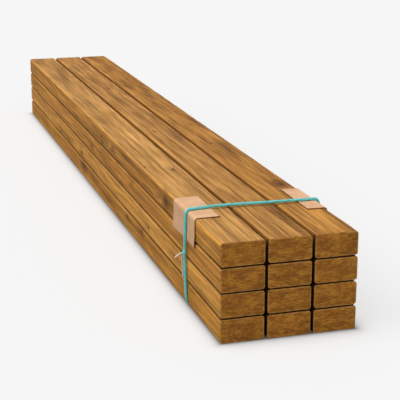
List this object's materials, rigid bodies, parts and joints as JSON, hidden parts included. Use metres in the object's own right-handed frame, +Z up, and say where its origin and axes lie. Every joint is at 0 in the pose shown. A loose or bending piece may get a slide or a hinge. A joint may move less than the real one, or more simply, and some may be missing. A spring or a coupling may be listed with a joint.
{
  "type": "bundle of pine studs",
  "caption": "Bundle of planed, treated pine studs stacked in layers, tied near one end with twine over two folded cardboard corner boards.",
  "frame": {"origin": "on the flat underside of the bundle, midway along the studs and midway across the stack", "axes": "+Z up; Y along the studs, with the tied end towards -Y; +X to the right of someone who faces the tied end"},
  "size_m": [0.2453, 1.8, 0.1642],
  "materials": {
    "treated_pine": "planed, brown pressure-treated, matt",
    "cardboard": "plain solid board, matt",
    "twine": "teal polypropylene twine, satin"
  },
  "bodies": {
    "root": {"stud_layer1_column1": "treated_pine", "stud_layer1_column2": "treated_pine", "stud_layer1_column3": "treated_pine", "stud_layer2_column1": "treated_pine", "stud_layer2_column2": "treated_pine", "stud_layer2_column3": "treated_pine", "stud_layer3_column1": "treated_pine", "stud_layer3_column2": "treated_pine", "stud_layer3_column3": "treated_pine", "stud_layer4_column1": "treated_pine", "stud_layer4_column2": "treated_pine", "stud_layer4_column3": "treated_pine", "corner_board_left": "cardboard", "corner_board_right": "cardboard", "twine": "twine"}
  },
  "joints": []
}
